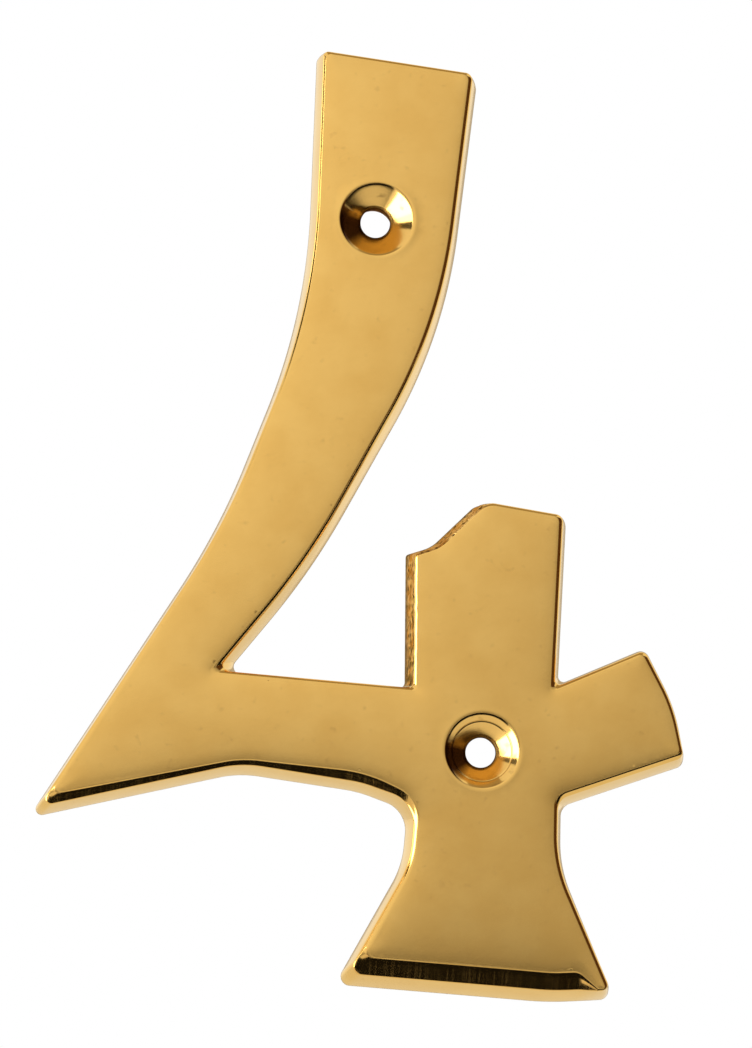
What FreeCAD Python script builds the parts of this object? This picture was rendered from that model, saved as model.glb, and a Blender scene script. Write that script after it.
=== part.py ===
import FreeCAD, Part
import Sketcher
import math
import os

# Cast brass door number, a figure four with an open top.
# One solid casting: a long diagonal stroke, a cross-bar drawn out to a sharp tip on the left,
# an upright stem with a broken top-left corner, a flared arm on the right and a flared foot.
# The flat back lies on the plane Y = 0 and the polished face looks along -Y, with Z up.
# The origin lies on the back, halfway between the two countersunk screw holes.

doc = FreeCAD.newDocument("door_number")
vector = FreeCAD.Vector

# Driving sizes, in millimetres and degrees: a name, a value and what it measures
size_rows = [
    # Whole casting
    ("plate_thickness", 4.0, "flat back to polished face"),
    ("wall_draft", 7.0, "lean of the side walls for the mould, in degrees"),
    ("face_roll", 0.4, "radius of the polished front edge"),
    ("corner_radius", 0.75, "rounding of the outer corners"),
    ("tip_radius", 0.5, "rounding of the left tip"),
    ("cut_margin", 2.0, "how far the cutting shapes reach past the metal"),
    # Screw holes
    ("hole_offset_x", 5.14, "origin to each screw hole, sideways"),
    ("hole_offset_z", 21.38, "origin to each screw hole, upwards"),
    ("screw_bore", 3.0, "clearance hole for a 4 gauge screw"),
    ("countersink_width", 5.9, "mouth of the countersink"),
    ("countersink_angle", 98.0, "included angle of the countersink"),
    ("countersink_lip", 0.12, "worn edge of the countersink"),
    # Diagonal stroke: its ends from the holes, its bends from the origin and from its own left edge
    ("stroke_top_rise", 14.21, "upper hole to the top left corner, upwards"),
    ("stroke_top_reach", 5.24, "upper hole to the left edge at the top"),
    ("stroke_top_width", 13.33, "width of the stroke at its top end"),
    ("stroke_top_fall", 1.26, "fall of the top edge from left to right"),
    ("left_bend_height", 14.09, "upper bend of the left edge, above the origin"),
    ("left_bend_reach", 5.15, "upper bend of the left edge, left of the upper hole"),
    ("left_bend_run", 8.6, "length of the upper bend on each side of its corner"),
    ("left_turn_depth", 4.14, "lower bend of the left edge, below the origin"),
    ("left_turn_reach", 11.42, "lower bend of the left edge, left of the upper hole"),
    ("left_turn_run", 5.7, "length of the lower bend on each side of its corner"),
    ("right_bend_width", 11.43, "width of the stroke at the upper bends"),
    ("right_bend_height", 12.92, "upper bend of the right edge, above the origin"),
    ("right_bend_run", 8.55, "length of that bend on each side of its corner"),
    ("right_turn_width", 7.68, "width of the stroke at the lower bends"),
    ("right_turn_depth", 7.11, "lower bend of the right edge, below the origin"),
    ("right_turn_run", 5.4, "length of that bend on each side of its corner"),
    # Stem, from the lower hole
    ("stem_left_reach", 6.1, "lower hole to the left edge at the cross-bar"),
    ("stem_right_reach", 6.32, "lower hole to the right edge at the arm"),
    ("stem_top_rise", 19.64, "lower hole up to the top right corner of the stem"),
    ("stem_top_fall", 1.59, "fall of the stem's top edge from left to right"),
    ("stem_left_flare", 0.55, "spread of the left edge towards the top"),
    ("stem_right_flare", 0.19, "spread of the right edge towards the top"),
    # Cross-bar and tip
    ("crossbar_top_rise", 5.11, "lower hole up to the top of the cross-bar at the stem"),
    ("crossbar_rise", 0.53, "rise of the cross-bar's top towards the stroke"),
    ("crossbar_root_radius", 0.5, "inner corner of cross-bar and stem"),
    ("counter_width", 14.4, "stem to the sharp corner of the open triangle"),
    ("counter_radius", 0.6, "sharp corner of the open triangle"),
    ("tip_reach", 29.65, "stem to the left tip"),
    ("tip_drop", 6.86, "lower hole down to the left tip"),
    ("crest_reach", 13.05, "stem to the crest under the cross-bar"),
    ("crest_depth", 7.53, "top of the cross-bar down to the crest"),
    ("crest_run", 1.6, "length of the crest on each side of its corner"),
    ("haunch_reach", 3.46, "stem to the haunch under the cross-bar"),
    ("haunch_depth", 8.51, "top of the cross-bar down to the haunch"),
    ("haunch_run", 1.06, "length of the haunch on each side of its corner"),
    ("underside_root_reach", 0.61, "stem edge to the inner corner under the cross-bar"),
    ("underside_root_depth", 9.82, "top of the cross-bar down to that inner corner"),
    ("underside_root_radius", 2.35, "inner corner under the cross-bar"),
    # Foot, from the edges of the stem, the corners above it and its own lowest point
    ("foot_drop", 19.51, "lower hole down to the lowest point of the foot"),
    ("left_waist_drop", 4.41, "inner corner under the cross-bar down to the left waist"),
    ("left_waist_reach", 0.39, "stem edge to the left waist"),
    ("left_waist_run", 1.63, "length of the left waist on each side of its corner"),
    ("foot_left_spread", 4.62, "stem edge to the left end of the foot"),
    ("foot_left_rise", 0.61, "left end of the foot above its lowest point"),
    ("foot_crown_reach", 12.47, "left edge of the stem to the lowest point of the foot"),
    ("foot_crown_run", 1.85, "length of the bow on each side of the lowest point"),
    ("foot_right_spread", 5.32, "stem edge to the right end of the foot"),
    ("foot_right_rise", 0.52, "right end of the foot above its lowest point"),
    ("right_waist_drop", 4.83, "inner corner under the arm down to the right waist"),
    ("right_waist_reach", 0.72, "stem edge to the right waist"),
    ("right_waist_run", 2.51, "length of the right waist on each side of its corner"),
    # Arm, from the lower hole and corner by corner round its end
    ("arm_under_drop", 3.76, "lower hole down to the root of the arm's underside"),
    ("arm_under_reach", 0.61, "stem edge to the root of the arm's underside"),
    ("arm_under_radius", 1.1, "inner corner under the arm"),
    ("arm_lower_reach", 10.5, "stem edge to the arm's lower corner"),
    ("arm_lower_rise", 3.84, "rise of the arm's underside"),
    ("arm_end_reach", 9.6, "stem edge to the bow of the arm's end"),
    ("arm_end_rise", 4.54, "arm's lower corner up to the bow of its end"),
    ("arm_end_run", 1.94, "length of the bow on each side of its corner"),
    ("arm_upper_reach", 6.94, "stem edge to the arm's upper corner"),
    ("arm_upper_rise", 4.79, "bow of the arm's end up to its upper corner"),
    ("arm_top_rise", 6.1, "lower hole up to the root of the arm's top"),
    ("arm_top_radius", 0.45, "inner corner above the arm"),
    # Underside of the foot, dressed back behind a flat facet
    ("dressing_rise", 0.75, "rise of the dressed underside, back to facet"),
    ("dressing_cut", 0.05, "metal dressed off the foot at the back"),
    ("facet_depth", 0.8, "depth of the flat facet, behind the face"),
    ("facet_rise", 1.35, "rise of the flat facet"),
    # Flat facet ground along the lower front edge of the cross-bar
    ("bar_facet_rise", 0.98, "underside of the cross-bar up to the facet's front edge"),
    ("bar_facet_lean", 55.0, "lean of the facet, in degrees"),
    # Broken corner, from the sharp corner that the stem would have had
    ("break_lean", 12.0, "lean of the broken corner, in degrees"),
    ("break_top_run", 6.08, "stem edge to the top of the break"),
    ("break_shoulder_run", 4.23, "stem edge to its shoulder"),
    ("break_shoulder_drop", 1.85, "stem top down to its shoulder"),
    ("break_step_run", 2.88, "stem edge to its step"),
    ("break_step_drop", 3.35, "stem top down to its step"),
    ("break_dip_run", 1.23, "stem edge to its dip"),
    ("break_dip_drop", 4.37, "stem top down to its dip"),
    ("break_ledge_run", 0.28, "stem edge to its ledge"),
    ("break_ledge_drop", 4.85, "stem top down to its ledge"),
    ("break_foot_drop", 5.95, "stem top down to the foot of the break, outside the metal"),
]

# Reference lines that the corners are measured from
top_line = "+ hole_offset_z + stroke_top_rise"
lower_hole = "- hole_offset_z"
stem_top_line = lower_hole + " + stem_top_rise"
crossbar_line = lower_hole + " + crossbar_top_rise"
underside_line = crossbar_line + " - underside_root_depth"
arm_under_line = lower_hole + " - arm_under_drop"
arm_lower_line = arm_under_line + " + arm_lower_rise"
arm_end_line = arm_lower_line + " + arm_end_rise"
foot_line = lower_hole + " - foot_drop"
stem_left = "+ hole_offset_x - stem_left_reach"
stem_right = "+ hole_offset_x + stem_right_reach"
stroke_top = "- hole_offset_x - stroke_top_reach"
left_bend = "- hole_offset_x - left_bend_reach"
left_turn = "- hole_offset_x - left_turn_reach"

# Corners of the outline on the back plane, anticlockwise seen from the front:
# a name, the sum that gives X, the sum that gives Z, and the size of its bend, if it isn't left sharp
corner_rows = [
    ("top_left", stroke_top, top_line, None),
    ("left_bend", left_bend, "+ left_bend_height", "left_bend_run"),
    ("left_turn", left_turn, "- left_turn_depth", "left_turn_run"),
    ("tip", stem_left + " - tip_reach", lower_hole + " - tip_drop", None),
    ("crest", stem_left + " - crest_reach", crossbar_line + " - crest_depth", "crest_run"),
    ("haunch", stem_left + " - haunch_reach", crossbar_line + " - haunch_depth", "haunch_run"),
    ("underside_root", stem_left + " + underside_root_reach", underside_line, "underside_root_radius"),
    ("left_waist", stem_left + " + left_waist_reach", underside_line + " - left_waist_drop",
     "left_waist_run"),
    ("foot_left", stem_left + " - foot_left_spread", foot_line + " + foot_left_rise", None),
    ("foot_crown", stem_left + " + foot_crown_reach", foot_line, "foot_crown_run"),
    ("foot_right", stem_right + " + foot_right_spread", foot_line + " + foot_right_rise", None),
    ("right_waist", stem_right + " + right_waist_reach", arm_under_line + " - right_waist_drop",
     "right_waist_run"),
    ("arm_under", stem_right + " + arm_under_reach", arm_under_line, "arm_under_radius"),
    ("arm_lower", stem_right + " + arm_lower_reach", arm_lower_line, None),
    ("arm_end", stem_right + " + arm_end_reach", arm_end_line, "arm_end_run"),
    ("arm_upper", stem_right + " + arm_upper_reach", arm_end_line + " + arm_upper_rise", None),
    ("arm_top", stem_right, lower_hole + " + arm_top_rise", "arm_top_radius"),
    ("stem_top_right", stem_right + " + stem_right_flare", stem_top_line, None),
    ("stem_top_left", stem_left + " - stem_left_flare", stem_top_line + " + stem_top_fall", None),
    ("crossbar_root", stem_left, crossbar_line, "crossbar_root_radius"),
    ("counter", stem_left + " - counter_width", crossbar_line + " + crossbar_rise", "counter_radius"),
    ("right_turn", left_turn + " + right_turn_width", "- right_turn_depth", "right_turn_run"),
    ("right_bend", left_bend + " + right_bend_width", "+ right_bend_height", "right_bend_run"),
    ("top_right", stroke_top + " + stroke_top_width", top_line + " - stroke_top_fall", None),
]
rounded_corners = ["top_left", "top_right", "foot_left", "foot_right", "arm_lower", "arm_upper",
                   "stem_top_right"]

# Corners of the strip that the facet under the cross-bar is cut from, on the face, in the same form
facet_end = stem_left + " + underside_root_reach - underside_root_radius"
facet_below = lower_hole + " - tip_drop - cut_margin"
bar_facet_rows = [
    ("before_tip", stem_left + " - tip_reach - cut_margin", lower_hole + " - tip_drop + bar_facet_rise"),
    ("at_tip", stem_left + " - tip_reach", lower_hole + " - tip_drop + bar_facet_rise"),
    ("at_crest", stem_left + " - crest_reach", crossbar_line + " - crest_depth + bar_facet_rise"),
    ("at_haunch", stem_left + " - haunch_reach", crossbar_line + " - haunch_depth + bar_facet_rise"),
    ("at_root", facet_end, underside_line),
    ("below_root", facet_end, facet_below),
    ("below_tip", stem_left + " - tip_reach - cut_margin", facet_below),
]

# Corners of the broken patch on the back plane, in the same form
break_line = stem_top_line + " + stem_top_fall"
break_outside = stem_left + " - stem_left_flare - cut_margin"
break_above = break_line + " + cut_margin"
break_rows = [
    ("break_top", stem_left + " + break_top_run", break_line),
    ("break_shoulder", stem_left + " + break_shoulder_run", break_line + " - break_shoulder_drop"),
    ("break_step", stem_left + " + break_step_run", break_line + " - break_step_drop"),
    ("break_dip", stem_left + " + break_dip_run", break_line + " - break_dip_drop"),
    ("break_ledge", stem_left + " + break_ledge_run", break_line + " - break_ledge_drop"),
    ("break_foot", break_outside, break_line + " - break_foot_drop"),
    ("break_outside", break_outside, break_above),
    ("break_above", stem_left + " + break_top_run", break_above),
]

sizes = doc.addObject("Spreadsheet::Sheet", "sizes")
for row, (name, value, note) in enumerate(size_rows, 1):
    sizes.set("A%d" % row, name)
    sizes.set("B%d" % row, str(value))
    sizes.set("C%d" % row, note)
    sizes.setAlias("B%d" % row, name)
doc.recompute()


def size(name):
    return float(sizes.get(name))


def total(terms):
    """Value of a sum of named sizes, written as sign, name, sign, name."""
    words = terms.split()
    value = 0.0
    for sign, name in zip(words[0::2], words[1::2]):
        value += size(name) if sign == "+" else -size(name)
    return value


def formula(terms):
    """The same sum, as the formula that drives a dimension."""
    words = terms.split()
    pairs = zip(words[0::2], words[1::2])
    return " ".join("%s sizes.%s" % pair for pair in pairs)


# Sketches

def new_sketch(body, role, name):
    sketch = body.newObject("Sketcher::SketchObject", name)
    for feature in body.Origin.OriginFeatures:
        if feature.Role == role:
            sketch.AttachmentSupport = [(feature, "")]
    sketch.MapMode = "FlatFace"
    return sketch


class Drawing:
    """Collects the constraints of one sketch, so that it is solved once."""

    def __init__(self, sketch):
        self.sketch = sketch
        self.constraints = []
        self.driven = []

    def add(self, kind, *where):
        self.constraints.append(Sketcher.Constraint(kind, *where))

    def drive(self, name, text, kind, *where):
        self.driven.append((len(self.constraints), name, text))
        self.add(kind, *where)

    def pin(self, name, geometry, point, across, above):
        """Place a point by two distances from the origin, each a value and its formula."""
        self.drive(name + "_across", across[1], "DistanceX", -1, 1, geometry, point, across[0])
        self.drive(name + "_above", above[1], "DistanceY", -1, 1, geometry, point, above[0])

    def finish(self):
        self.sketch.addConstraint(self.constraints)
        for index, name, text in self.driven:
            self.sketch.renameConstraint(index, name)
        for index, name, text in self.driven:
            self.sketch.setExpression("Constraints." + name, text)


def driven_sum(terms):
    return total(terms), formula(terms)


def tangent_bend(before, corner, after, bend):
    """Start, end, centre, radius and sense of the arc that rounds a corner.
    The bend's size is a radius, or a run: the length that it takes on each side of the corner."""
    back = (before - corner).normalize()
    onward = (after - corner).normalize()
    half_opening = back.getAngle(onward) / 2
    slope = math.tan(half_opening)
    run = size(bend) if bend.endswith("_run") else size(bend) / slope
    radius = run * slope
    centre = corner + (back + onward).normalize() * (radius / math.sin(half_opening))
    turns_left = onward.cross(back).z > 0
    return corner + back * run, corner + onward * run, centre, radius, turns_left


def draw_outline(sketch):
    """Straight runs joined by tangent bends, with the plain corners left sharp."""
    drawing = Drawing(sketch)
    count = len(corner_rows)
    places = [vector(total(x), total(z), 0) for name, x, z, bend in corner_rows]
    starts = list(places)
    ends = list(places)
    bends = {}
    for i, (name, x, z, bend) in enumerate(corner_rows):
        if bend is not None:
            before = places[i - 1]
            after = places[(i + 1) % count]
            starts[i], ends[i], centre, radius, turns_left = tangent_bend(before, places[i], after, bend)
            bends[i] = (centre, radius, turns_left)
    runs = []
    for i in range(count):
        run = Part.LineSegment(ends[i], starts[(i + 1) % count])
        runs.append(sketch.addGeometry(run, False))
    for i, (name, x, z, bend) in enumerate(corner_rows):
        before = runs[i - 1]
        after = runs[i]
        if bend is None:
            drawing.add("Coincident", before, 2, after, 1)
            drawing.pin(name, after, 1, driven_sum(x), driven_sum(z))
            continue
        centre, radius, turns_left = bends[i]
        circle = Part.Circle(centre, vector(0, 0, 1), radius)
        first = starts[i] if turns_left else ends[i]
        last = ends[i] if turns_left else starts[i]
        bow = Part.ArcOfCircle(circle, circle.parameter(first), circle.parameter(last))
        arc = sketch.addGeometry(bow, False)
        near_end = 1 if turns_left else 2
        far_end = 2 if turns_left else 1
        drawing.add("Tangent", before, 2, arc, near_end)
        drawing.add("Tangent", arc, far_end, after, 1)
        point = sketch.addGeometry(Part.Point(places[i]), True)
        drawing.add("PointOnObject", point, 1, before)
        drawing.add("PointOnObject", point, 1, after)
        drawing.pin(name, point, 1, driven_sum(x), driven_sum(z))
        if bend.endswith("_run"):
            drawing.drive(bend, "sizes." + bend, "Distance", point, 1, arc, near_end, size(bend))
        else:
            drawing.drive(bend, "sizes." + bend, "Radius", arc, size(bend))
    drawing.finish()


def draw_polygon(sketch, corners):
    """Each corner is a name and two distances, each a value and its formula."""
    drawing = Drawing(sketch)
    places = [vector(across[0], above[0], 0) for name, across, above in corners]
    runs = []
    for i in range(len(places)):
        run = Part.LineSegment(places[i - 1], places[i])
        runs.append(sketch.addGeometry(run, False))
    for i, (name, across, above) in enumerate(corners):
        onward = runs[(i + 1) % len(runs)]
        drawing.add("Coincident", runs[i], 2, onward, 1)
        drawing.pin(name, onward, 1, across, above)
    drawing.finish()


# Edges and faces, found by where they lie

near = 0.001


def wall_edges(feature, names):
    """Edges that run down the side walls from the named corners of the back."""
    found = []
    for row_name, x, z, bend in corner_rows:
        if row_name not in names:
            continue
        place = vector(total(x), 0, total(z))
        for number, edge in enumerate(feature.Shape.Edges, 1):
            gap = min(vertex.Point.distanceToPoint(place) for vertex in edge.Vertexes)
            if gap < near and edge.BoundBox.YLength > near:
                found.append("Edge%d" % number)
    return found


def lies_on_face(item):
    face_level = -size("plate_thickness")
    return abs(item.BoundBox.YMin - face_level) < near and abs(item.BoundBox.YMax - face_level) < near


def front_face(feature):
    faces = enumerate(feature.Shape.Faces, 1)
    return ["Face%d" % number for number, face in faces if lies_on_face(face)]


def front_rims(feature):
    edges = enumerate(feature.Shape.Edges, 1)
    return ["Edge%d" % number for number, edge in edges if lies_on_face(edge) and edge.isClosed()]


body = doc.addObject("PartDesign::Body", "door_number")
body.Label = "door_number"

# Casting, drawn in from the back towards the face
outline = new_sketch(body, "XZ_Plane", "outline")
draw_outline(outline)
doc.recompute()
casting = body.newObject("PartDesign::Pad", "casting")
casting.Profile = outline
casting.setExpression("Length", "sizes.plate_thickness")
casting.setExpression("TaperAngle", "-sizes.wall_draft")
doc.recompute()

# Outer corners and the tip, rounded down the side walls
corner_rounds = body.newObject("PartDesign::Fillet", "corner_rounds")
corner_rounds.Base = (casting, wall_edges(casting, rounded_corners))
corner_rounds.setExpression("Radius", "sizes.corner_radius")
doc.recompute()
tip_round = body.newObject("PartDesign::Fillet", "tip_round")
tip_round.Base = (corner_rounds, wall_edges(corner_rounds, ["tip"]))
tip_round.setExpression("Radius", "sizes.tip_radius")
doc.recompute()

# Polished front edge, rolled over all round the face
rolled_edge = body.newObject("PartDesign::Fillet", "rolled_edge")
rolled_edge.Base = (tip_round, front_face(tip_round))
rolled_edge.setExpression("Radius", "sizes.face_roll")
doc.recompute()

# Underside of the foot, dressed back to a slope and a flat facet.
# The cut is square to the foot's own slope, from its left end to its lowest point.
foot_slope = size("foot_left_rise") / (size("foot_left_spread") + size("foot_crown_reach"))
foot_tilt = math.atan(foot_slope)
tilt_text = "atan(sizes.foot_left_rise / (sizes.foot_left_spread + sizes.foot_crown_reach))"
dressing = new_sketch(body, "YZ_Plane", "dressing")
dressing.AttachmentOffset = FreeCAD.Placement(
    vector(0, 0, 0), FreeCAD.Rotation(vector(1, 0, 0), math.degrees(foot_tilt)))
dressing.setExpression("AttachmentOffset.Rotation.Angle", tilt_text)

crown_x, crown_x_text = driven_sum(stem_left + " + foot_crown_reach")
crown_z, crown_z_text = driven_sum(foot_line)
underside = crown_x * math.sin(foot_tilt) + crown_z * math.cos(foot_tilt)
underside_text = "(%s) * sin(%s) + (%s) * cos(%s)" % (crown_x_text, tilt_text, crown_z_text, tilt_text)


def above_underside(terms):
    return underside + total(terms), underside_text + " " + formula(terms)


behind = driven_sum("+ cut_margin")
in_front = driven_sum("- plate_thickness - cut_margin")
low = above_underside("+ dressing_cut - cut_margin")
knee = above_underside("+ dressing_cut + dressing_rise")
brow = above_underside("+ dressing_cut + dressing_rise + facet_rise")
draw_polygon(dressing, [
    ("behind", behind, above_underside("+ dressing_cut")),
    ("heel", (0.0, "0 mm"), above_underside("+ dressing_cut")),
    ("knee", driven_sum("- plate_thickness + facet_depth"), knee),
    ("brow", driven_sum("- plate_thickness"), brow),
    ("brow_in_front", in_front, brow),
    ("low_in_front", in_front, low),
    ("low_behind", behind, low),
])
doc.recompute()
foot_dressing = body.newObject("PartDesign::Pocket", "foot_dressing")
foot_dressing.Profile = dressing
foot_dressing.SideType = "Symmetric"
foot_dressing.setExpression("Length", "2 * (sizes.tip_reach + sizes.foot_right_spread)")
doc.recompute()

# Flat facet under the cross-bar, from the tip to the inner corner at the stem
bar_facet_outline = new_sketch(body, "XZ_Plane", "bar_facet_outline")
bar_facet_outline.setExpression("AttachmentOffset.Base.z", "sizes.plate_thickness")
draw_polygon(bar_facet_outline, [(name, driven_sum(x), driven_sum(z)) for name, x, z in bar_facet_rows])
doc.recompute()
bar_facet = body.newObject("PartDesign::Pocket", "bar_facet")
bar_facet.Profile = bar_facet_outline
bar_facet.setExpression("Length", "sizes.bar_facet_rise / tan(sizes.bar_facet_lean * 1 deg)")
bar_facet.setExpression("TaperAngle", "-sizes.bar_facet_lean")
doc.recompute()

# Broken corner at the top left of the stem, leaning back from the face
break_outline = new_sketch(body, "XZ_Plane", "break_outline")
draw_polygon(break_outline, [(name, driven_sum(x), driven_sum(z)) for name, x, z in break_rows])
doc.recompute()
broken_corner = body.newObject("PartDesign::Pocket", "broken_corner")
broken_corner.Profile = break_outline
broken_corner.Reversed = True
broken_corner.setExpression("Length", "sizes.plate_thickness + sizes.cut_margin")
broken_corner.setExpression("TaperAngle", "-sizes.break_lean")
doc.recompute()

# Two countersunk screw holes
hole_places = new_sketch(body, "XZ_Plane", "hole_places")
hole_places.setExpression("AttachmentOffset.Base.z", "sizes.plate_thickness")
marks = Drawing(hole_places)
hole_rows = [
    ("upper", "- hole_offset_x", "+ hole_offset_z"),
    ("lower", "+ hole_offset_x", "- hole_offset_z"),
]
for name, x, z in hole_rows:
    ring = Part.Circle(vector(total(x), total(z), 0), vector(0, 0, 1), size("screw_bore") / 2)
    mark = hole_places.addGeometry(ring, False)
    marks.pin(name, mark, 3, driven_sum(x), driven_sum(z))
    marks.drive(name + "_width", "sizes.screw_bore", "Diameter", mark, size("screw_bore"))
marks.finish()
doc.recompute()
screw_holes = body.newObject("PartDesign::Hole", "screw_holes")
screw_holes.Profile = hole_places
doc.recompute()
screw_holes.ThreadType = "None"
screw_holes.DepthType = "ThroughAll"
screw_holes.HoleCutType = "Countersink"
screw_holes.setExpression("Diameter", "sizes.screw_bore")
screw_holes.setExpression("HoleCutDiameter", "sizes.countersink_width")
screw_holes.setExpression("HoleCutCountersinkAngle", "sizes.countersink_angle")
doc.recompute()

# Worn lips round the two countersinks
worn_lips = body.newObject("PartDesign::Fillet", "worn_lips")
worn_lips.Base = (screw_holes, front_rims(screw_holes))
worn_lips.setExpression("Radius", "sizes.countersink_lip")
doc.recompute()

# Every object is up to date, every step takes metal off, and the casting is one whole solid
for item in doc.Objects:
    for mark in ("Invalid", "Error"):
        if mark in item.State:
            raise RuntimeError("%s did not build" % item.Name)
steps = [
    casting, corner_rounds, tip_round, rolled_edge, foot_dressing, bar_facet, broken_corner, screw_holes,
    worn_lips,
]
for before, after in zip(steps, steps[1:]):
    if after.Shape.Volume >= before.Shape.Volume:
        raise RuntimeError("%s took nothing off" % after.Name)
if body.Shape.isNull() or not body.Shape.isValid() or len(body.Shape.Solids) != 1:
    raise RuntimeError("the casting is not one whole solid")
print("volume", round(body.Shape.Volume, 3), "faces", len(body.Shape.Faces))

os.makedirs("parts", exist_ok=True)
body.Shape.exportStep("parts/door_number.step")
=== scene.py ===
"""Brass door number four: polished casting, soft studio and viewpoint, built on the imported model."""

import math

import bmesh
import bpy
import numpy as np
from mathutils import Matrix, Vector
from mathutils.geometry import delaunay_2d_cdt


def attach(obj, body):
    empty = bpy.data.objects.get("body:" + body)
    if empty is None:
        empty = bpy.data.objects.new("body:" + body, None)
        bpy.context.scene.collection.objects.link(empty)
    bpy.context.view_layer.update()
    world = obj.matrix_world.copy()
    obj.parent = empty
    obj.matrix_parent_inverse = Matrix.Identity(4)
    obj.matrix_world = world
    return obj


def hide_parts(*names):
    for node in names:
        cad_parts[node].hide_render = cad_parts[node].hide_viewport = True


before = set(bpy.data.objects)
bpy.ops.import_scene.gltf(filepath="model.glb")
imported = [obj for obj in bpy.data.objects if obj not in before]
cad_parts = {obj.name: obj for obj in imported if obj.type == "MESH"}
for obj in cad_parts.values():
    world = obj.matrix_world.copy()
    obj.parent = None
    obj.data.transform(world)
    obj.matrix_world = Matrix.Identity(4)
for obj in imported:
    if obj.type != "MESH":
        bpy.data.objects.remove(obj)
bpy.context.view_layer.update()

scene = bpy.context.scene
scene.view_settings.view_transform = "Standard"

# ---------------------------------------------------------------- camera

# Low and a little to the left of the number, looking slightly upwards
viewpoint_data = bpy.data.cameras.new("viewpoint")
viewpoint_data.sensor_width = 36.0
viewpoint_data.lens = 160.08
viewpoint_data.clip_start = 0.01
viewpoint_data.clip_end = 20.0
viewpoint = bpy.data.objects.new("viewpoint", viewpoint_data)
viewpoint.location = (-0.03404, -0.37143, -0.06318)
viewpoint.rotation_euler = (math.radians(99.1899), math.radians(-2.4336), math.radians(-5.0437))
scene.collection.objects.link(viewpoint)
scene.camera = viewpoint

# ---------------------------------------------------------------- sizes of the casting, in millimetres

metre = 0.001
thickness = 4.0
back_arris = 0.06

# Corners of the back outline, anticlockwise seen from the front: name, x, z,
# bend radius at the back, bend radius at the face, and the flank that runs on to the next corner
outline_corners = [
    ("top_left", -10.38, 35.55, 0.40, 0.40, "stroke_left"),
    ("left_bend", -10.29, 14.09, 50.79, 0.0, "stroke_left"),
    ("left_turn", -16.56, -4.14, 57.81, 0.0, "stroke_left"),
    ("tip", -30.61, -28.24, 0.50, 0.35, "tip_underside"),
    ("crest", -14.01, -23.80, 8.71, 0.0, "bar_underside"),
    ("haunch", -4.42, -24.78, 10.09, 0.0, "haunch_underside"),
    ("underside_root", -0.35, -26.09, 2.35, 3.00, "foot_left"),
    ("left_waist", -0.57, -30.50, 7.60, 0.0, "foot_left"),
    ("foot_left", -5.58, -40.28, 0.75, 0.60, "foot_underside"),
    ("foot_crown", 11.51, -40.88, 25.62, 6.0, "foot_underside"),
    ("toe_start", 13.70, -40.69, 1.50, 1.00, "toe"),
    ("toe_end", 15.15, -40.55, 0.60, 0.12, "toe_corner"),
    ("foot_right", 16.78, -40.37, 0.75, 0.10, "foot_right"),
    ("right_waist", 12.18, -29.97, 10.66, 0.0, "right_side"),
    ("arm_under", 12.07, -25.14, 1.10, 1.30, "arm_underside"),
    ("arm_lower", 21.96, -21.30, 0.75, 0.45, "arm_end"),
    ("arm_end", 21.06, -16.76, 13.92, 0.0, "right_side"),
    ("arm_upper", 18.40, -11.97, 0.75, 0.45, "upper_side"),
    ("arm_top", 11.46, -15.28, 0.45, 0.30, "right_side"),
    ("stem_top_right", 11.65, -1.74, 0.75, 0.45, "upper_side"),
    ("break_top", 4.30, -0.86, 1.50, 1.70, "broken"),
    ("break_dip", 0.72, -4.62, 3.00, 3.20, "broken"),
    ("break_foot", -1.33, -5.38, 0.30, 0.25, "cast_wall"),
    ("crossbar_root", -0.96, -16.27, 0.50, 0.35, "upper_side"),
    ("counter", -15.36, -15.74, 0.60, 0.25, "stroke_right"),
    ("right_turn", -8.88, -7.11, 59.70, 0.0, "stroke_right"),
    ("right_bend", 1.14, 12.92, 44.51, 0.0, "stroke_right_top"),
    ("top_right", 2.95, 34.33, 0.75, 0.45, "upper_side"),
]

# How each flank is finished where it starts: lean of the wall in degrees, radius of the rolled edge,
# share of flat facet, rise and depth of that facet, raggedness, and sample spacing
flanks = {
    "stroke_left": (5.0, 0.42, 0.0, 0.5, 0.5, 0.0, 0.26),
    "tip_underside": (6.5, 0.35, 1.0, 0.76, 0.385, 0.0, 0.24),
    "bar_underside": (6.2, 0.35, 1.0, 0.36, 0.19, 0.0, 0.24),
    "haunch_underside": (6.2, 0.35, 1.0, 0.80, 0.40, 0.0, 0.24),
    "foot_left": (5.0, 0.55, 0.0, 0.5, 0.5, 0.0, 0.24),
    "foot_underside": (12.3, 0.30, 1.0, 1.38, 0.62, 0.0, 0.26),
    "toe": (12.3, 0.30, 1.0, 1.38, 0.62, 0.0, 0.10),
    "toe_corner": (8.0, 0.30, 1.0, 0.12, 0.07, 0.0, 0.15),
    "foot_right": (5.5, 0.48, 0.0, 0.5, 0.5, 0.0, 0.26),
    "right_side": (10.3, 0.48, 0.0, 0.5, 0.5, 0.0, 0.26),
    "arm_end": (7.5, 0.38, 0.0, 0.5, 0.5, 0.0, 0.26),
    "arm_underside": (7.0, 0.35, 0.6, 0.40, 0.35, 0.0, 0.26),
    "upper_side": (5.0, 0.35, 0.0, 0.5, 0.5, 0.0, 0.26),
    "broken": (8.0, 0.34, 0.0, 0.5, 0.5, 0.13, 0.11),
    "cast_wall": (6.0, 0.40, 0.0, 0.5, 0.5, 0.09, 0.12),
    "stroke_right": (9.0, 0.48, 0.0, 0.5, 0.5, 0.0, 0.26),
    "stroke_right_top": (10.3, 0.48, 0.0, 0.5, 0.5, 0.0, 0.26),
}

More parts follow.
